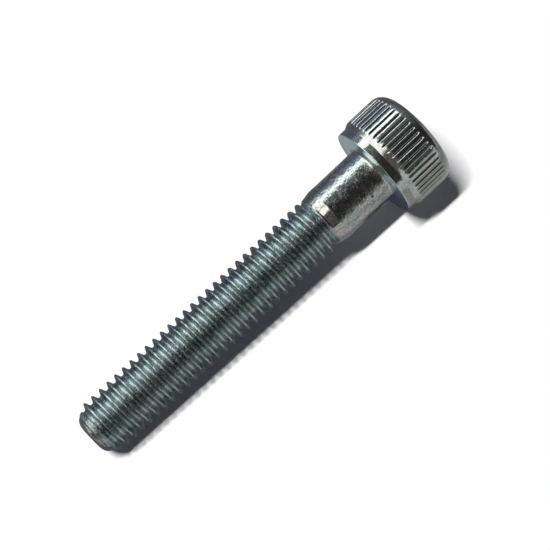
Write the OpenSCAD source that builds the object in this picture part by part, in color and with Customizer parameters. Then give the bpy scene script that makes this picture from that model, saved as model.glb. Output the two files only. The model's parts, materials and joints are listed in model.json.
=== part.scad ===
// Hex socket head cap screw, partly threaded, lying on its side as it comes to rest.
// The head's lands and a thread crest near the point touch the ground, so the axis slopes down to the point.

/* [Length] */
// Length from the bearing face to the end of the point
length = 30; // [15:0.5:35]
// Plain cylinder from the bearing face to the neck
plain_l = 4.6; // [2:0.1:8]
// Neck, a cone from the shank down to the rolled blank
neck_l = 0.85; // [0.4:0.05:1.6]
// Length over which the thread grooves run out towards the neck
runout_l = 0.7; // [0.4:0.1:2.5]
// Chamfer on the point, measured along the axis
point_l = 1.26; // [0.5:0.02:1.6]
// Rounding between the chamfer and the end face
point_round = 0.8; // [0.2:0.1:1]

/* [Diameters] */
// Plain shank
shank_d = 4.7; // [4.6:0.02:5.2]
// Rolled blank between the neck and the thread
blank_d = 4.4; // [4.2:0.02:4.5]
// Thread over its crests
thread_d = 4.62; // [4.54:0.02:5.1]
// End face of the point, out to where the chamfer would meet it unrounded
point_d = 3; // [2.4:0.05:3.5]

/* [Thread] */
// Distance from one crest to the next
pitch = 0.8; // [0.7:0.05:0.9]
// Angle between the two flanks
flank_angle = 60; // [55:1:65]
// Facets to one turn of the thread
turn_steps = 30; // [24:2:36]
// Angle about the axis at which the thread starts
thread_start = 258; // [0:1:359]

/* [Head] */
// Knurled head over its lands
head_d = 8.44; // [8.2:0.02:9]
// Head height
head_h = 4.8; // [4.4:0.05:5.6]
// Smooth rim at the bearing face
rim_d = 7.96; // [7:0.02:8.1]
// Height of the smooth rim
rim_h = 0.7; // [0.2:0.05:1]
// Height of the slope from the rim to the full head
slope_h = 0.5; // [0.2:0.05:0.8]
// Rounding of the top edge
top_r = 1.05; // [0.3:0.05:1.3]
// Fillet between the shank and the bearing face
fillet_r = 0.3; // [0.1:0.05:0.5]

/* [Knurl] */
// Number of grooves round the head
knurl_n = 50; // [24:1:60]
// Depth of a groove
knurl_depth = 0.14; // [0.05:0.01:0.25]
// Width of a groove at the surface
knurl_w = 0.2; // [0.1:0.01:0.25]
// Knurled length of the head
knurl_l = 2.9; // [1:0.05:3.2]
// Angle about the axis of the first groove
knurl_start = 4.6; // [0:0.2:7]

/* [Socket] */
// Width across the flats of the hexagon
socket_af = 4; // [2.5:0.1:4.4]
// Depth of the hexagon from the top of the head
socket_depth = 2.6; // [1:0.1:3]
// Angle of the drilled cone at the bottom of the socket
drill_angle = 120; // [100:5:140]
// Chamfer round the mouth of the socket
mouth_c = 0.15; // [0.05:0.05:0.3]

/* [Hidden] */
$fn = 96;
// Overlap of joined bodies
eps = 0.01;
// Distance by which a cutter or a trimming form reaches past the surface
reach = 1;

shank_r = shank_d / 2;
blank_r = blank_d / 2;
thread_r = thread_d / 2;
point_r = point_d / 2;
head_r = head_d / 2;
rim_r = rim_d / 2;

// Thread section along the axis: root flat, flank, crest flat, flank
crest_w = pitch / 8;
root_w = pitch / 4;
flank_w = (pitch - crest_w - root_w) / 2;
root_r = thread_r - flank_w / tan(flank_angle / 2);
root_sag = root_w / 8;
core_r = root_r - pitch / 10;

// Slope of the point's chamfer from the end face, and the flat left inside its rounding
point_lean = atan(point_l / (thread_r - point_r));
point_flat = point_r - point_round * tan(point_lean / 2);

// Stations along the axis, with the bearing face at 0 and the head above it
neck_z = -plain_l - neck_l;
runout_z = neck_z - runout_l;
land_z = rim_h + slope_h;
knurl_z = land_z - slope_h / 4;

// The thread is swept from below the point to a fading end inside the run-out
lead_turns = 1.5;
short_turns = 0.6;
sweep_z = -length - lead_turns * pitch;
sweep_turns = (neck_z - sweep_z) / pitch - short_turns;
sweep_rows = round(sweep_turns * turn_steps);
fade_rows = turn_steps;

// Hexagon corners, mouth and drilled bottom of the socket
socket_r = socket_af / 2 / cos(30);
mouth_r = socket_r + mouth_c;
drill_r = socket_af / 2;
drill_h = drill_r / tan(drill_angle / 2);

// The screw rests on the start of the head's lands and on the first whole crest above the point.
// A flat facet of each faces the ground, a little nearer the axis than the full radius.
crest_z = sweep_z + root_w + flank_w - pitch * thread_start / 360;
rest_z = crest_z + pitch * ceil((point_l - length - crest_z) / pitch);
head_flat = head_r * cos(180 / $fn);
thread_flat = thread_r * cos(180 / turn_steps);
rest_tilt = atan((head_flat - thread_flat) / (land_z - rest_z));
axis_h = head_flat * cos(rest_tilt) - land_z * sin(rest_tilt);
head_x = (head_h - top_r) * cos(rest_tilt) + (head_r - top_r) * sin(rest_tilt) + top_r;
tip_x = -length * cos(rest_tilt) - point_flat * sin(rest_tilt);

// Thread

function crest_at(row) =
    let (left = (sweep_rows - 1 - row) / fade_rows)
    left < 1 ? root_r + (thread_r - root_r) * left : thread_r;

// Points of the section at one row, from the root flat to the end of the crest flat
function section(row) = [
    [root_r, 0],
    [root_r - root_sag, root_w / 2],
    [root_r, root_w],
    [crest_at(row), root_w + flank_w],
    [crest_at(row), root_w + flank_w + crest_w]
];

function row_point(row, p) =
    let (a = thread_start + 360 * row / turn_steps)
    [p[0] * cos(a), p[0] * sin(a), sweep_z + pitch * row / turn_steps + p[1]];

module thread_body() {
    cols = len(section(0));
    last = sweep_rows - 1;
    points = concat(
        [for (row = [0:last]) for (p = section(row)) row_point(row, p)],
        [for (row = [last + 1:last + turn_steps]) row_point(row, section(last)[0])],
        [[0, 0, sweep_z + pitch / 2], [0, 0, sweep_z + pitch * (last / turn_steps + 0.5)]]
    );
    foot = len(points) - 2;
    top = len(points) - 1;
    // Column number cols of a row is the first point of the row one turn on
    function id(row, col) =
        col < cols ? row * cols + col
        : row + turn_steps <= last ? (row + turn_steps) * cols
        : sweep_rows * cols + row + turn_steps - sweep_rows;
    sides = [
        for (row = [0:last - 1], col = [0:cols - 1])
        each [
            [id(row, col), id(row, col + 1), id(row + 1, col + 1)],
            [id(row, col), id(row + 1, col + 1), id(row + 1, col)]
        ]
    ];
    foot_cap = concat(
        [for (row = [0:turn_steps - 1]) [foot, id(row, 0), id(row + 1, 0)]],
        [for (col = [0:cols - 1]) [foot, id(0, col + 1), id(0, col)]]
    );
    top_cap = concat(
        [for (row = [last - turn_steps:last - 1]) [top, id(row + 1, cols), id(row, cols)]],
        [for (col = [0:cols - 1]) [top, id(last, col), id(last, col + 1)]]
    );
    polyhedron(points, concat(sides, foot_cap, top_cap), convexity = 10);
}

// A section turned about the axis, with a flat facet toward the ground
module turned() {
    rotate(180 / $fn) rotate_extrude() children();
}

// The chamfered point trims the start of the thread
module point_form() {
    clear_r = thread_r + reach;
    cone_l = (clear_r - point_r) * tan(point_lean);
    bend = [
        for (a = [0:point_lean / 5:point_lean + eps])
        [point_flat + point_round * sin(a), point_round * (1 - cos(a)) - length]
    ];
    turned() polygon(concat([[0, -length]], bend, [[clear_r, cone_l - length], [clear_r, 0], [0, 0]]));
}

module thread() {
    intersection() {
        thread_body();
        point_form();
    }
}

// Shank, neck and run-out, a half section turned about the axis
module shank_section() {
    polygon([
        [0, eps], [shank_r, eps], [shank_r, -plain_l], [blank_r, neck_z], [blank_r, neck_z - pitch / 4],
        [core_r, runout_z], [0, runout_z]
    ]);
    difference() {
        translate([0, -fillet_r]) square([shank_r + fillet_r, fillet_r + eps]);
        translate([shank_r + fillet_r, -fillet_r]) circle(fillet_r);
    }
}

// Head without its socket and knurl, a half section turned about the axis
module head_section() {
    polygon([
        [0, 0], [rim_r, 0], [rim_r, rim_h], [head_r, land_z], [head_r, head_h - top_r],
        [head_r - top_r, head_h - top_r], [head_r - top_r, head_h], [0, head_h]
    ]);
    intersection() {
        translate([head_r - top_r, head_h - top_r]) circle(top_r);
        translate([head_r - top_r - eps, head_h - top_r - eps]) square(top_r + 2 * eps);
    }
}

// Straight grooves between the lands, cut in from just outside the head
module knurl_grooves() {
    over = knurl_depth;
    mouth_w = knurl_w * (knurl_depth + over) / knurl_depth;
    translate([0, 0, knurl_z]) linear_extrude(knurl_l)
        for (i = [0:knurl_n - 1]) rotate(knurl_start + 360 * i / knurl_n)
            polygon([
                [head_r - knurl_depth, 0],
                [head_r + over, -mouth_w / 2],
                [head_r + over, mouth_w / 2]
            ]);
}

module socket() {
    floor_z = head_h - socket_depth;
    translate([0, 0, floor_z]) linear_extrude(socket_depth + reach) circle(socket_r, $fn = 6);
    translate([0, 0, floor_z - drill_h]) cylinder(h = drill_h, r1 = 0, r2 = drill_r);
    translate([0, 0, head_h - mouth_c]) cylinder(h = mouth_c + eps, r1 = mouth_r - mouth_c, r2 = mouth_r + eps);
}

module cap_screw() {
    color("lightsteelblue")
    translate([-(head_x + tip_x) / 2, 0, axis_h])
    rotate([0, 90 - rest_tilt, 0]) {
        difference() {
            turned() {
                head_section();
                shank_section();
            }
            knurl_grooves();
            socket();
        }
        thread();
    }
}

cap_screw();
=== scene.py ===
import json
import math

import bpy
import numpy as np
from mathutils import Matrix, Vector


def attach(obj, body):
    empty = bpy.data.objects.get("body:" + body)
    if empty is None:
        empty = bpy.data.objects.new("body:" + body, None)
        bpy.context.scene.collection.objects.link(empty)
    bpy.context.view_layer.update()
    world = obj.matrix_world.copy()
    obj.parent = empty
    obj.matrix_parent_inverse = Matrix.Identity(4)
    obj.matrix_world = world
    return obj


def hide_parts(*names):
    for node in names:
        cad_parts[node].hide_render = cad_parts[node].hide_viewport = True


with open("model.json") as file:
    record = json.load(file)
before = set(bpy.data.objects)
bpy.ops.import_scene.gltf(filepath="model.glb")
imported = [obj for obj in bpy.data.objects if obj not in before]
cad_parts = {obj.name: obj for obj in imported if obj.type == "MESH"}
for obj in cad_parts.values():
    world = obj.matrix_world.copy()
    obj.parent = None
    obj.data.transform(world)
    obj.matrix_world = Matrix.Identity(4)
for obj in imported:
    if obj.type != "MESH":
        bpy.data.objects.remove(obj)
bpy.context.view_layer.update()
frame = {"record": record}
mounts = {m["name"]: m for m in frame["record"]["mounts"]}


# The screw's own axis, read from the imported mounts: from the point's end to the top of the head

pointEnd = Vector(mounts["thread"]["pos_m"])
headTop = Vector(mounts["hex_socket"]["pos_m"])
axisDir = (headTop - pointEnd).normalized()
seat = Vector(mounts["bearing_face"]["pos_m"])
seat = pointEnd + axisDir * (seat - pointEnd).dot(axisDir)   # where the axis meets the bearing face
sideDir = Vector((0.0, 1.0, 0.0))
downDir = sideDir.cross(axisDir)
mm = 0.001


# Screw. Lengths are in mm and angles in degrees. Stations along the axis start at the bearing face, with the
# head above it. Angles about the axis are 0 straight down and 90 toward +Y

screwShape = {
    "length": (seat - pointEnd).length / mm,
    "headHeight": (headTop - seat).length / mm,
    "shankRadius": mounts["shank"]["dims"]["r_mm"],
    "plainLength": 4.85,       # bearing face to neck
    "neckLength": 0.77,
    "blankRadius": 2.2,        # rolled blank at the small end of the neck
    "blankLength": 0.05,
    "filletRadius": 0.3,
    # Thread
    "threadRadius": 2.31,
    "rootRadius": 1.86,
    "pitch": 0.8,
    "crestWidth": 0.1,
    "rootWidth": 0.2,
    "flankCurve": 0.7,         # share of an S curve in a flank, which rounds crest and root
    "rootSag": (0.2, 0.2),     # how far the roots dip: share of a flank's width, and slope there
    "crestAt": -7.04,          # a crest at the side that the camera sees as upper left
    "crestAngle": 99.6,        # that side's angle
    "runoutEnd": -6.15,        # where the grooves reach full depth
    "runoutGap": 0.08,         # the run-out cone starts this far inside the roots
    "fadeEnd": -5.43,          # the last crest sinks into the neck here
    # Point
    "pointLength": 1.26,
    "pointRadius": 1.5,
    "pointRound": 0.8,
    "beadAt": -29.46,          # fine ridge where the thread starts on the point
    "beadHeight": 0.03,
    "beadWidth": 0.07,
    # Head
    "rimRadius": 3.98,
    "rimHeight": 0.7,
    "rimEdge": 0.07,
    "slopeHeight": 0.5,
    "slopeCurve": 0.3,         # share of an S curve in the slope
    "headRadius": 4.22,
    "topRounding": 1.05,
    # Knurl
    "knurlCount": 50,
    "knurlDepth": 0.10,
    "knurlWidth": 0.20,        # from shoulder to shoulder of a groove
    "knurlPower": 1.5,         # 1 for a straight V, more for rounded shoulders
    "knurlCrown": 0.018,       # by which a land falls off from its middle
    "knurlFrom": 1.075,
    "knurlTo": 3.975,
    "knurlRunin": 0.12,
    "knurlAngle": 4.6,
    # Socket
    "socketFlats": 4.0,
    "socketDepth": 2.6,
    "mouthGap": 0.15,          # chamfer outside the hexagon's corners
    "drillAngle": 120.0,
    "drillShare": 0.998,       # of the flats, so that the cone stays inside the walls
    # Rings and columns of the mesh
    "rowsPerPitch": 20,
    "bendAngles": (0.0, 56.0, 5.0),          # rings on the point's rounding: from, before and step
    "edgeGap": 0.015,          # rings this close to both sides of the neck's edges
    "edgeRoom": 0.1,           # and the next ones this far from them
    "neckRows": 6,
    "plainRows": 14,
    "filletRows": 9,
    "rimEdgeRows": 5,
    "rimRows": 4,
    "rimRoom": 0.02,           # between the last ring of the rim and the slope
    "slopeStart": 0.03,        # first ring of the slope, as a share of its height
    "slopeRows": 8,
    "landRows": 8,
    "topRows": 17,
    "wallShares": (0.35, 0.7, 1.0),          # rings down the socket's walls
    "drillShares": (0.33, 0.66),             # and down its cone
    "shankColumns": 100,       # a sixth of the head's columns
    "knurlColumns": (-0.5, -0.38, -0.27, -0.19, -0.13, -0.06, 0.0, 0.06, 0.13, 0.19, 0.27, 0.38),
    "sharpAngle": 38.0,        # edges that turn by more than this are shaded sharp
}


def smooth(t):
    # 3t^2 - 2t^3 between 0 and 1
    t = np.clip(t, 0.0, 1.0)
    return t * t * (3.0 - 2.0 * t)


def eased(t, curve):
    # t, with a share of it replaced by the S curve
    return (1.0 - curve) * t + curve * smooth(t)


def neckEnd(k):
    return -k["plainLength"] - k["neckLength"]


def threadRadius(along, angle, k):
    # Radius of the thread at a station and an angle: the distance from the nearest crest of the helix,
    # which advances one pitch a turn, picks a height between root and crest with rounded corners
    turn = (np.degrees(angle) - k["crestAngle"]) / 360.0
    phase = (along - k["crestAt"]) / k["pitch"] - turn
    away = np.abs(phase - np.round(phase)) * k["pitch"]
    flank = (k["pitch"] - k["crestWidth"] - k["rootWidth"]) / 2.0
    reach, slope = k["rootSag"]
    t = np.clip((k["pitch"] / 2.0 - k["rootWidth"] / 2.0 - away) / flank, -reach, 1.0)
    height = np.where(t > 0, eased(t, k["flankCurve"]), slope * t)
    crest = k["rootRadius"] + (k["threadRadius"] - k["rootRadius"]) * smooth(
        (k["fadeEnd"] - along) / k["pitch"])
    return k["rootRadius"] + (crest - k["rootRadius"]) * height


def pointRadius(along, k):
    # Cone from the end face up to the thread, with a circular rounding where the two would meet
    lean = math.atan2(k["pointLength"], k["threadRadius"] - k["pointRadius"])
    r = k["pointRound"]
    lift = along + k["length"]
    flat = k["pointRadius"] - r * math.tan(lean / 2.0)
    cone = k["pointRadius"] + lift * (k["threadRadius"] - k["pointRadius"]) / k["pointLength"]
    bend = flat + np.sqrt(np.clip(r * r - (r - np.clip(lift, 0, r)) ** 2, 0, None))
    return np.where(lift < r * (1 - math.cos(lean)), bend, cone)


def stemRadius(along, angle, k):
    # Radius from the point to the bearing face: thread, trimmed by the point's rounded cone, over the
    # run-out cone and the blank, then the neck's cone, the plain shank and the fillet's quarter circle
    stations = [k["runoutEnd"], neckEnd(k) - k["blankLength"], neckEnd(k), -k["plainLength"]]
    radii = [k["rootRadius"] - k["runoutGap"], k["blankRadius"], k["blankRadius"], k["shankRadius"]]
    blank = np.interp(along, stations, radii)
    blank = np.where(along < k["runoutEnd"], 0.0, blank)
    thread = np.minimum(threadRadius(along, angle, k), pointRadius(along, k))
    bead = k["beadHeight"] * np.exp(-((along - k["beadAt"]) / k["beadWidth"]) ** 2)
    body = np.maximum(thread + bead, blank)
    body = np.where(along > neckEnd(k), blank, body)
    f = k["filletRadius"]
    rise = np.clip(along + f, 0.0, f)
    return body + f - np.sqrt(f * f - rise * rise)


def stemRows(k):
    # Stations of the rings, close together along the thread and at the neck's two edges, and sparse on
    # the plain shank
    low, high = neckEnd(k), -k["plainLength"]
    gap, room = k["edgeGap"], k["edgeRoom"]
    step = k["pitch"] / k["rowsPerPitch"]
    bend = -k["length"] + k["pointRound"] * (1 - np.cos(np.radians(np.arange(*k["bendAngles"]))))
    threaded = np.arange(bend[-1] + step, low - step / 2, step)
    neck = np.linspace(low + room, high - room, k["neckRows"])
    plain = np.linspace(high + room, -k["filletRadius"], k["plainRows"])
    fillet = -k["filletRadius"] * (1 - np.sin(np.linspace(0, math.pi / 2, k["filletRows"])))[1:]
    return np.concatenate([bend, threaded, [low - gap, low + gap], neck, [high - gap, high + gap],
                           plain, fillet])


def headProfile(k):
    # Base outline of the head as stations and radii: the rim's rounded edge and the rim, the slope, the
    # lands and the quarter circle of the top edge
    e, r = k["rimEdge"], k["topRounding"]
    land = k["rimHeight"] + k["slopeHeight"]
    start = k["headHeight"] - r
    edge = np.linspace(0, math.pi / 2, k["rimEdgeRows"])
    rim = np.linspace(e, k["rimHeight"] - k["rimRoom"], k["rimRows"])[1:]
    slope = np.linspace(k["slopeStart"], 1, k["slopeRows"])
    straight = np.linspace(land, start, k["landRows"])[1:]
    top = np.linspace(0, math.pi / 2, k["topRows"])[1:]
    along = [e - e * np.cos(edge), rim, k["rimHeight"] + k["slopeHeight"] * slope, straight,
             start + r * np.sin(top)]
    radius = [k["rimRadius"] - e + e * np.sin(edge),
              np.full(len(rim), k["rimRadius"]),
              k["rimRadius"] + (k["headRadius"] - k["rimRadius"]) * eased(slope, k["slopeCurve"]),
              np.full(len(straight), k["headRadius"]),
              k["headRadius"] - r + r * np.cos(top)]
    return np.concatenate(along), np.concatenate(radius)


def knurlAngles(k):
    # Angles of the head's columns: the same few places from the middle of one land to the next
    spacing = 360.0 / k["knurlCount"]
    places = np.arange(k["knurlCount"])[:, None] + np.array(k["knurlColumns"])
    return np.radians(k["knurlAngle"] + spacing * places).ravel()


def knurled(along, radius, angle, k):
    # Straight grooves with rounded shoulders: the depth falls off from the bottom as a power of the share
    # of the half width that is left. The lands between them fall off with the square of the distance from
    # their middle. Both are times a ramp at the two ends of the knurl
    spacing = 360.0 / k["knurlCount"]
    offset = (np.degrees(angle) - k["knurlAngle"]) / spacing
    share = np.abs(offset - np.round(offset))
    away = share * math.radians(spacing) * k["headRadius"]
    groove = np.clip(1.0 - away / (k["knurlWidth"] / 2.0), 0.0, 1.0) ** k["knurlPower"]
    fall = k["knurlDepth"] * groove + k["knurlCrown"] * (1.0 - 2.0 * share) ** 2
    ramp = smooth((along - k["knurlFrom"]) / k["knurlRunin"]) * smooth(
        (k["knurlTo"] - along) / k["knurlRunin"])
    floor = k["headRadius"] - k["knurlDepth"]
    return np.maximum(np.minimum(radius, floor), radius - fall * ramp)


def hexRadius(angle, flats):
    # Distance from the axis to the hexagon's side at each angle
    sector = np.mod(np.degrees(angle) + 30.0, 60.0) - 30.0
    return flats / 2.0 / np.cos(np.radians(sector))


def socketRings(angle, k):
    # Mouth chamfer down to the hexagon, its walls, the flat corners at the bottom and the drilled cone.
    # Returns the rings' stations and radii, and the station of the cone's tip
    top = k["headHeight"]
    side = hexRadius(angle, k["socketFlats"])
    mouth = k["socketFlats"] / 2.0 / math.cos(math.radians(30)) + k["mouthGap"]
    chamfer = top - (mouth - side)
    bottom = top - k["socketDepth"]
    drill = k["socketFlats"] / 2.0 * k["drillShare"]
    drillDepth = drill / math.tan(math.radians(k["drillAngle"] / 2.0))
    full = np.ones_like(angle)
    rings = [(top * full, mouth * full), (chamfer, side)]
    rings += [(chamfer + (bottom - chamfer) * share, side) for share in k["wallShares"]]
    rings += [((bottom - drillDepth * share) * full, drill * (1 - share) * full)
              for share in (0.0, *k["drillShares"])]
    along, radius = zip(*rings)
    return np.stack(along), np.stack(radius), bottom - drillDepth


def ringFaces(rows, cols, first):
    # Quads between neighbouring rings of a closed tube of rows by cols vertices
    i = np.arange(rows - 1)[:, None]
    j = np.arange(cols)[None, :]
    a = first + i * cols + j
    b = first + i * cols + (j + 1) % cols
    return np.stack([a, b, b + cols, a + cols], -1).reshape(-1, 4)


def fanFaces(centre, first, cols, flip):
    # Triangles from a centre point to every side of a ring
    j = np.arange(cols)
    a = first + j
    b = first + (j + 1) % cols
    c = np.full(cols, centre)
    return np.stack([c, b, a] if flip else [c, a, b], -1)


def stitchFaces(inner, innerCols, outer, share):
    # Joins a ring to a ring with share times as many vertices
    j = np.arange(innerCols)
    a = inner + j
    b = inner + (j + 1) % innerCols
    faces = []
    for s in range(share):
        p = outer + j * share + s
        q = outer + (j * share + s + 1) % (innerCols * share)
        faces.append(np.stack([a, q, p], -1))
    last = outer + (j * share + share) % (innerCols * share)
    faces.append(np.stack([a, b, last], -1))
    return np.concatenate(faces)


def placeRings(along, radius, angle):
    # Ring points in metres in the shared frame: along the axis, down, and to the side
    u, d, s = (np.array(v) for v in (axisDir, downDir, sideDir))
    ray = np.cos(angle)[..., None] * d + np.sin(angle)[..., None] * s
    return (np.array(seat) + mm * (along[..., None] * u + radius[..., None] * ray)).reshape(-1, 3)


def makeScrew(k):
    stemCols = k["shankColumns"]
    headAngle = knurlAngles(k)
    headCols = len(headAngle)
    rows = stemRows(k)
    along, angle = np.meshgrid(rows, np.arange(stemCols) * 2 * math.pi / stemCols, indexing="ij")
    stem = placeRings(along, stemRadius(along, angle, k), angle)
    baseAlong, baseRadius = headProfile(k)
    along, angle = np.meshgrid(baseAlong, headAngle, indexing="ij")
    head = placeRings(along, knurled(along, baseRadius[:, None] * np.ones_like(angle), angle, k), angle)
    along, radius, drillTip = socketRings(np.arange(headCols) * 2 * math.pi / headCols, k)
    angle = np.broadcast_to(np.arange(headCols) * 2 * math.pi / headCols, along.shape)
    socket = placeRings(along, radius, angle)
    poles = np.array(seat) + mm * np.outer([-k["length"], drillTip], np.array(axisDir))
    points = np.concatenate([stem, head, socket, poles])
    stemCount = len(stem)
    poleAt = len(points) - len(poles)
    headRows = len(baseAlong) + len(along)
    quads = np.concatenate([ringFaces(len(rows), stemCols, 0), ringFaces(headRows, headCols, stemCount)])
    tris = np.concatenate([
        fanFaces(poleAt, 0, stemCols, True),
        fanFaces(poleAt + 1, poleAt - headCols, headCols, False),
        stitchFaces(stemCount - stemCols, stemCols, stemCount, headCols // stemCols),
    ])
    mesh = bpy.data.meshes.new("socket_cap_screw")
    mesh.from_pydata(points.tolist(), [], quads.tolist() + tris.tolist())
    mesh.validate()
    piece = bpy.data.objects.new("socket_cap_screw", mesh)
    bpy.context.scene.collection.objects.link(piece)
    mesh.polygons.foreach_set("use_smooth", np.ones(len(mesh.polygons), dtype=bool))
    mesh.set_sharp_from_angle(angle=math.radians(k["sharpAngle"]))
    return piece


# Shader maths

class Field:
    def __init__(self, nodes, socket):
        self.nodes = nodes
        self.socket = socket

    def op(self, name, *others):
        return self.nodes.node("ShaderNodeMath", {"operation": name}, [self, *others])

    def __add__(self, other):
        return self.op("ADD", other)

    def __radd__(self, other):
        return self.op("ADD", other)

    def __sub__(self, other):
        return self.op("SUBTRACT", other)

    def __rsub__(self, other):
        return self.nodes.node("ShaderNodeMath", {"operation": "SUBTRACT"}, [other, self])

    def __mul__(self, other):
        return self.op("MULTIPLY", other)

    def __rmul__(self, other):
        return self.op("MULTIPLY", other)

    def __truediv__(self, other):
        return self.op("DIVIDE", other)

    def ramp(self, low, high, outLow=0.0, outHigh=1.0):
        # From outLow at low to outHigh at high along an S curve
        return self.nodes.node("ShaderNodeMapRange", {"interpolation_type": "SMOOTHSTEP"},
                               [self, low, high, outLow, outHigh])

    def band(self, low, high, soft):
        # 1 between low and high, with soft ends
        return self.ramp(low - soft, low + soft) * (1 - self.ramp(high - soft, high + soft))


class Nodes:
    def __init__(self, tree):
        self.tree = tree
        tree.nodes.clear()

    def node(self, kind, settings=None, inputs=(), out=0):
        # A new node's output: inputs are values or fields by socket, and a colour is three values
        n = self.tree.nodes.new(kind)
        for key, value in (settings or {}).items():
            setattr(n, key, value)
        for key, value in inputs.items() if isinstance(inputs, dict) else enumerate(inputs):
            if isinstance(value, Field):
                self.tree.links.new(value.socket, n.inputs[key])
            else:
                n.inputs[key].default_value = (*value, 1.0) if n.inputs[key].type == "RGBA" else value
        return Field(self, n.outputs[out]) if len(n.outputs) else None

    def mix(self, share, one, two, blend="MIX"):
        return self.node("ShaderNodeMix", {"data_type": "RGBA", "blend_type": blend},
                         {0: share, 6: one, 7: two}, out=2)

    def grey(self, value):
        return self.node("ShaderNodeCombineColor", {}, [value, value, value])

    def noise(self, where, scale, detail, rough):
        return self.node("ShaderNodeTexNoise", {}, {"Vector": where, "Scale": scale, "Detail": detail,
                                                    "Roughness": rough})

    def part(self, where, axis):
        return self.node("ShaderNodeSeparateXYZ", {}, [where], out="XYZ".index(axis))

    def vector(self, operation, where, fixed, out=0):
        # Vector maths with a fixed second vector
        return self.node("ShaderNodeVectorMath", {"operation": operation}, [where, tuple(fixed)], out)

    def objectPlace(self):
        return self.node("ShaderNodeTexCoord", out=3)

    def cameraRay(self):
        return self.node("ShaderNodeLightPath", out=0)

    def glossyRay(self):
        return self.node("ShaderNodeLightPath", out=3)


def newMaterial(name):
    material = bpy.data.materials.new(name)
    material.use_nodes = True
    return material, Nodes(material.node_tree)


# Bright zinc plate on steel. Pairs are the two ends of a ramp, triples with a softness are bands, both in mm
# along the screw unless a note says otherwise

zincPlate = {
    "shankColour": (0.64, 0.64, 0.625),
    "threadColour": (0.545, 0.635, 0.645),
    "faceColour": (0.78, 0.97, 1.0),          # bearing face
    "threadTop": (-5.75, -5.5),
    "headStart": (0.02, 0.06),
    "faceBand": (-0.12, 0.045, 0.02),
    "faceInside": (2.42, 2.58),               # radius at which the bearing face starts
    "neckBand": (-5.62, -4.85, 0.06),
    "pointTop": (-29.56, -29.46),
    # Noise of the plating, in cells to the mm
    "mottleSize": 2.6,
    "grainSize": 7.5,
    "patchSize": 0.6,
    "cloudSize": 1.3,
    "streakSize": 7.0,         # rings round the thread, along it
    "streakTurn": 1.6,         # and about it, in cells to the radian
    # Tints: colour, the noise values between which it comes in, and how much of it
    "greenTint": ((0.50, 0.66, 0.60), (0.40, 0.62), 0.35),
    "violetTint": ((0.52, 0.50, 0.66), (0.54, 0.72), 0.55),
    "warmTint": ((0.60, 0.55, 0.47), (0.52, 0.70), 0.5),
    "threadViolet": ((0.52, 0.50, 0.66), (0.52, 0.72), 0.25),
    "neckWarmth": 0.35,
    # Dark specks, which are weaker on the thread and the head, and dark blotches on the thread
    "speckRange": (0.42, 0.60),
    "speckShade": 0.38,        # share of the light that a speck takes
    "threadClean": 0.35,
    "headClean": 0.4,
    "blotchRange": (0.40, 0.58),
    "blotchShade": 0.25,
    # Roughness between two values, and how much of it the neck and the point lose
    "roughRange": (0.38, 0.62),
    "shankRough": (0.10, 0.24),
    "threadRough": (0.22, 0.40),
    "headRough": (0.07, 0.18),
    "neckSmooth": 0.6,
    "pointSmooth": 0.6,
    # Relief in mm
    "bump": 0.045,
    "headFlat": 0.6,           # share of the relief that the head loses
    "threadExtra": 0.5,        # and by which the thread gains
    "streakBump": 0.042,
    # Small pit on the shank
    "pitStation": -1.66,
    "pitAngle": -136.4,
    "pitRadius": 0.12,
    "pitSoft": 0.4,            # share of the radius
    "pitShade": 0.85,
}


def onScrew(station, angle, radius):
    # Point in the shared frame, in metres
    a = math.radians(angle)
    return seat + mm * (station * axisDir + radius * (math.cos(a) * downDir + math.sin(a) * sideDir))


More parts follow.
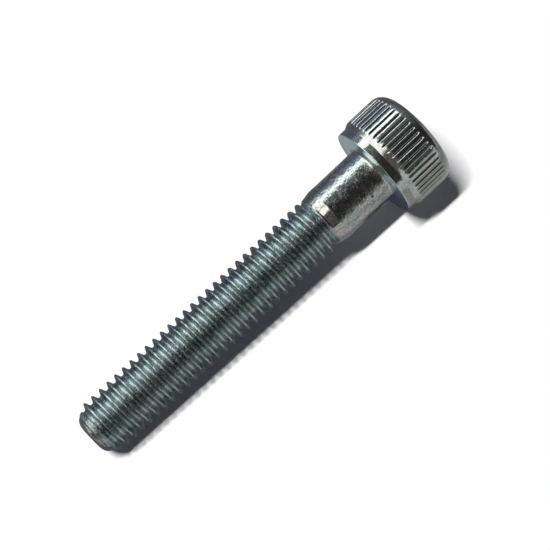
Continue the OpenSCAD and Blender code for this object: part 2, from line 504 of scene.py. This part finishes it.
def makeZinc(k):
    material, n = newMaterial("zinc_plated_steel")
    place = n.objectPlace()
    fromSeat = n.vector("SUBTRACT", place, seat)
    station, down, side = (n.vector("DOT_PRODUCT", fromSeat, way, out=1) / mm
                           for way in (axisDir, downDir, sideDir))
    radius = (down * down + side * side).op("SQRT")
    angle = side.op("ARCTAN2", down)
    # Masks of the screw's parts
    threaded = 1 - station.ramp(*k["threadTop"])
    onHead = station.ramp(*k["headStart"])
    onFace = station.band(*k["faceBand"]) * radius.ramp(*k["faceInside"])
    onNeck = station.band(*k["neckBand"])
    onPoint = 1 - station.ramp(*k["pointTop"])
    smoother = (1 - onNeck * k["neckSmooth"]) * (1 - onPoint * k["pointSmooth"])
    mottle = n.noise(place, k["mottleSize"] / mm, detail=3.0, rough=0.6)
    grain = n.noise(place, k["grainSize"] / mm, detail=2.0, rough=0.6)
    patch = n.noise(place, k["patchSize"] / mm, detail=2.0, rough=0.5)
    cloud = n.noise(place, k["cloudSize"] / mm, detail=2.0, rough=0.5)
    # Rings left by rolling: noise stretched about the axis
    wrapped = n.node("ShaderNodeCombineXYZ", {}, [station * k["streakSize"], angle * k["streakTurn"], 0.0])
    streak = n.noise(wrapped, 1.0, detail=2.0, rough=0.6)

    def tinted(colour, field, name, more=0.0):
        tint, ends, share = k[name]
        return n.mix(field.ramp(*ends) * share + more, colour, tint)

    bright = tinted(k["shankColour"], patch, "greenTint")
    bright = tinted(bright, cloud, "violetTint")
    bright = tinted(bright, mottle, "warmTint", onNeck * k["neckWarmth"])
    green = tinted(k["threadColour"], cloud, "threadViolet")
    colour = n.mix(threaded * (1 - onPoint), bright, green)
    colour = n.mix(onFace, colour, k["faceColour"])
    # Shade from specks, blotches and the pit
    specks = 1 - (mottle * 0.5 + grain * 0.5).ramp(*k["speckRange"])
    specks = specks * (1 - onFace) * (1 - threaded * k["threadClean"]) * (1 - onHead * k["headClean"])
    blotch = threaded * (1 - cloud.ramp(*k["blotchRange"]))
    pit = onScrew(k["pitStation"], k["pitAngle"], screwShape["shankRadius"])
    pitAway = n.vector("DISTANCE", place, pit, out=1) / mm
    pitted = 1 - pitAway.ramp(k["pitRadius"] * (1 - k["pitSoft"]), k["pitRadius"] * (1 + k["pitSoft"]))
    shade = (1 - blotch * k["blotchShade"]) * (1 - specks * k["speckShade"]) * (1 - pitted * k["pitShade"])
    colour = n.mix(1.0, colour, n.grey(shade), "MULTIPLY")
    fine = mottle * 0.6 + grain * 0.4
    rough = fine.ramp(*k["roughRange"], *k["shankRough"])
    for mask, name in ((threaded, "threadRough"), (onHead, "headRough")):
        rough = rough * (1 - mask) + fine.ramp(*k["roughRange"], *k[name]) * mask
    relief = k["bump"] * (1 - onHead * k["headFlat"]) * (1 + threaded * k["threadExtra"]) * smoother
    height = (mottle * 0.65 + grain * 0.35) * relief + streak * (threaded * k["streakBump"])
    bump = n.node("ShaderNodeBump", {}, {"Strength": 1.0, "Distance": mm, "Height": height})
    shader = n.node("ShaderNodeBsdfPrincipled", {}, {
        "Base Color": colour, "Metallic": 1.0, "Roughness": rough * smoother, "Normal": bump})
    n.node("ShaderNodeOutputMaterial", {}, [shader])
    return material


# Camera, from the photograph's own lines

view = {
    "frame": 550.0,            # width and height of the picture in pixels
    "focal": 1550.0,           # focal length in pixels
    "seatPixel": (372.99, 172.88),            # where the bearing face's centre is seen
    "distance": 0.12155,       # depth of that point
    "axisAngle": 43.26,        # of the screw's axis in the picture, in degrees above the horizontal
    "axisDepth": 5.46,         # by how much the head end points away from the camera
    "sensor": 36.0,
    "clipStart": 0.001,
}


def makeCamera(k):
    a, t = math.radians(k["axisAngle"]), math.radians(k["axisDepth"])
    seen = Vector((math.cos(a) * math.cos(t), math.sin(a) * math.cos(t), -math.sin(t)))
    # A level camera: the ground's normal is (0, cos e, sin e) in its axes, and meets the screw's axis at
    # the angle that the ground's does
    reach = math.hypot(seen.y, seen.z)
    pitch = math.acos(axisDir.z / reach) - math.atan2(-seen.z, seen.y)
    up = Vector((0.0, math.cos(pitch), math.sin(pitch)))
    ground = Vector((0.0, 0.0, 1.0))

    def triad(normal, line):
        flat = (line - normal * line.dot(normal)).normalized()
        return Matrix((normal, flat, normal.cross(flat))).transposed()

    turn = triad(ground, axisDir) @ triad(up, seen).transposed()
    half = k["frame"] / 2.0
    x = (k["seatPixel"][0] - half) / k["focal"] * k["distance"]
    y = (half - k["seatPixel"][1]) / k["focal"] * k["distance"]
    camera = bpy.data.cameras.new("photo_camera")
    camera.sensor_width = k["sensor"]
    camera.lens = k["sensor"] * k["focal"] / k["frame"]
    camera.clip_start = k["clipStart"]
    holder = bpy.data.objects.new("photo_camera", camera)
    bpy.context.scene.collection.objects.link(holder)
    holder.matrix_world = Matrix.Translation(seat - turn @ Vector((x, y, -k["distance"]))) @ turn.to_4x4()
    bpy.context.scene.camera = holder
    print("camera elevation", round(math.degrees(pitch), 2))


# Studio. The key light falls on the floor and casts the shadow. The metal mirrors the panels of the world,
# each between two elevations and to both sides of a heading, all in degrees from +X round to +Y

studio = {
    "keyRadiance": 1.0,        # of the white floor
    "keyTilt": 14.5,           # from straight above, toward +Y
    "keyLean": 13.0,           # and toward -X
    "keyDistance": 1.0,
    "keySize": (0.30, 0.045),  # long along the screw, so that the thread's shadow has straight edges
    "white": (1.0, 1.0, 1.0),
    "ambient": (0.040, 0.043, 0.057),
    "overheadShady": (0.034, 0.034, 0.034),
    "overheadSunny": (0.20, 0.22, 0.22),
    "overheadSplit": (-0.1, 0.75),            # the Y of a direction, from shady to sunny
    "panels": [
        # heading, half width, elevations from and to, softness of the edge, colour times radiance
        (110, 52, -10, 21, 4, (0.28, 0.30, 0.42)),
        (-86, 42, -10, 24, 1.6, (0.55, 0.56, 0.55)),
        (-67, 8, 24, 40, 0.5, (0.28, 0.28, 0.27)),
        (-141, 19, -10, 25, 1.6, (0.64, 0.66, 0.64)),
        (180, 28, -10, 18, 5, (0.15, 0.16, 0.14)),
        (-150, 48, 26, 84, 3, (0.135, 0.117, 0.107)),
        (105, 47, 25, 44, 2.5, (2.45, 2.80, 2.75)),
        (134, 33, 9, 57, 2.5, (1.70, 1.72, 1.62)),
        (142, 31, 60, 77, 2, (2.30, 2.26, 2.20)),
    ],
    "panelSides": 3,           # softness of a panel's sides, times that of its other edges
    "floorSize": 3.0,          # half the floor's width in metres
    "whiteFrom": (28.0, 45.0), # mm from the middle
    # Painted reflection: the metal mirrors the floor in these fixed glowing colours, with painted shade and
    # light. Ramps are in mm, in x, in y or in the direction of -x or -y
    "shadyToSunny": (-1, 1),
    "nearSunny": (0.16, 0.16, 0.19),
    "farSunny": (0.13, 0.14, 0.17),
    "sunnyRamp": (5, 9),
    "nearThread": (0.12, 0.12, 0.14),
    "nearShank": (0.24, 0.25, 0.27),
    "nearRamp": (5.5, 7.5),
    "farShady": (0.52, 0.53, 0.51),
    "besideHead": (0.32, 0.33, 0.31),
    "farRamp": (12, 15),
    "shadyRamp": (5, 10),
    "pastHead": (0.28, 0.28, 0.27),
    "beyondHead": (0.32, 0.33, 0.33),
    "beyondRamp": (50, 80),
    "pastSunny": (0.12, 0.12, 0.12),
    "pastRamp": (0, 4),
    "headRamp": (24, 28),
    "beyondPoint": (0.32, 0.32, 0.30),
    "pointRamp": (23, 30),
    "paintedReflectionPatches": [
        # band in x, band in y, colour times radiance. Painted reflections lie behind the head and beside the
        # bearing face, and a painted shadow lies under the head
        ((17, 25, 2), (-9, 0, 2), (0.42, 0.42, 0.40)),
        ((9.5, 12.9, 0.6), (1, 7, 1), (0.30, 0.32, 0.33)),
        ((10.2, 14, 0.8), (-4.8, -1.2, 0.6), (0.04, 0.041, 0.06)),
    ],
}


def makeKey(k):
    # Radiance of a white floor under a lamp far off: radiance times solid angle times cosine over pi.
    # A lamp's power is its radiance times its area times pi
    lean, tilt = (math.tan(math.radians(k[name])) for name in ("keyLean", "keyTilt"))
    toward = Vector((-lean, tilt, 1.0)).normalized()
    area = k["keySize"][0] * k["keySize"][1]
    radiance = k["keyRadiance"] * math.pi / (area / k["keyDistance"] ** 2 * toward.z)
    lamp = bpy.data.lights.new("key_light", "AREA")
    lamp.shape = "RECTANGLE"
    lamp.size, lamp.size_y = k["keySize"]
    lamp.energy = radiance * area * math.pi
    key = bpy.data.objects.new("key_light", lamp)
    bpy.context.scene.collection.objects.link(key)
    wide = (Vector((1.0, 0.0, 0.0)) - toward * toward.x).normalized()
    turn = Matrix((wide, toward.cross(wide), toward)).transposed()
    key.matrix_world = Matrix.Translation(seat + toward * k["keyDistance"]) @ turn.to_4x4()
    key.visible_glossy = False


def makeWorld(k):
    # The camera sees white, diffuse surfaces are lit by the ambient colour, and the metal mirrors the panels
    world = bpy.data.worlds.new("studio")
    bpy.context.scene.world = world
    world.use_nodes = True
    n = Nodes(world.node_tree)
    way = n.node("ShaderNodeTexCoord")
    x, y = n.part(way, "X"), n.part(way, "Y")
    elevation = n.part(way, "Z").op("ARCSINE") * math.degrees(1)
    colour = n.mix(y.ramp(*k["overheadSplit"]), k["overheadShady"], k["overheadSunny"])
    for heading, half, low, high, soft, light in k["panels"]:
        c, s = math.cos(math.radians(heading)), math.sin(math.radians(heading))
        turn = (y * c - x * s).op("ARCTAN2", x * c + y * s) * math.degrees(1)
        inside = elevation.band(low, high, soft) * turn.band(-half, half, k["panelSides"] * soft)
        colour = n.mix(inside, colour, light)
    colour = n.mix(n.glossyRay(), k["ambient"], colour)
    colour = n.mix(n.cameraRay(), colour, k["white"])
    background = n.node("ShaderNodeBackground", {}, [colour, 1.0])
    n.node("ShaderNodeOutputWorld", {}, [background])


def makeFloor(k):
    size = k["floorSize"]
    mesh = bpy.data.meshes.new("floor")
    mesh.from_pydata([(-size, -size, 0), (size, -size, 0), (size, size, 0), (-size, size, 0)], [],
                     [(0, 1, 2, 3)])
    floor = bpy.data.objects.new("floor", mesh)
    bpy.context.scene.collection.objects.link(floor)
    material, n = newMaterial("floor_card")
    place = n.objectPlace()
    x, y = n.part(place, "X") / mm, n.part(place, "Y") / mm
    sunny = n.mix(y.ramp(*k["sunnyRamp"]), k["nearSunny"], k["farSunny"])
    near = n.mix(x.ramp(*k["nearRamp"]), k["nearThread"], k["nearShank"])
    far = n.mix(x.ramp(*k["farRamp"]), k["farShady"], k["besideHead"])
    shady = n.mix((y * -1).ramp(*k["shadyRamp"]), near, far)
    colour = n.mix(y.ramp(*k["shadyToSunny"]), shady, sunny)
    past = n.mix(x.ramp(*k["beyondRamp"]), k["pastHead"], k["beyondHead"])
    past = n.mix(y.ramp(*k["pastRamp"]), past, k["pastSunny"])
    colour = n.mix(x.ramp(*k["headRamp"]), colour, past)
    colour = n.mix((x * -1).ramp(*k["pointRamp"]), colour, k["beyondPoint"])
    # Patches of painted reflection, and a painted shadow under the head
    for inX, inY, light in k["paintedReflectionPatches"]:
        colour = n.mix(x.band(*inX) * y.band(*inY), colour, light)
    # Far from the screw the camera sees the floor as plain white, because the key light fades there
    distance = (x * x + y * y).op("SQRT")
    card = n.node("ShaderNodeBsdfDiffuse", {}, {"Color": k["white"]})
    white = n.node("ShaderNodeEmission", {}, [k["white"], 1.0])
    card = n.node("ShaderNodeMixShader", {}, [n.cameraRay() * distance.ramp(*k["whiteFrom"]), card, white])
    # Painted reflection: for glossy rays the floor glows in the fixed colours above instead of being lit,
    # with painted shade near the screw
    paintedReflection = n.node("ShaderNodeEmission", {}, [colour, 1.0])
    shader = n.node("ShaderNodeMixShader", {}, [n.glossyRay(), card, paintedReflection])
    n.node("ShaderNodeOutputMaterial", {}, [shader])
    mesh.materials.append(material)


screw = makeScrew(screwShape)
screw.data.materials.append(makeZinc(zincPlate))
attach(screw, "root")
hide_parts("cap_screw")
print("screw made,", len(screw.data.polygons), "faces")

makeCamera(view)
makeFloor(studio)
makeWorld(studio)
makeKey(studio)
print("studio lit")

scene = bpy.context.scene
scene.view_settings.view_transform = "Standard"
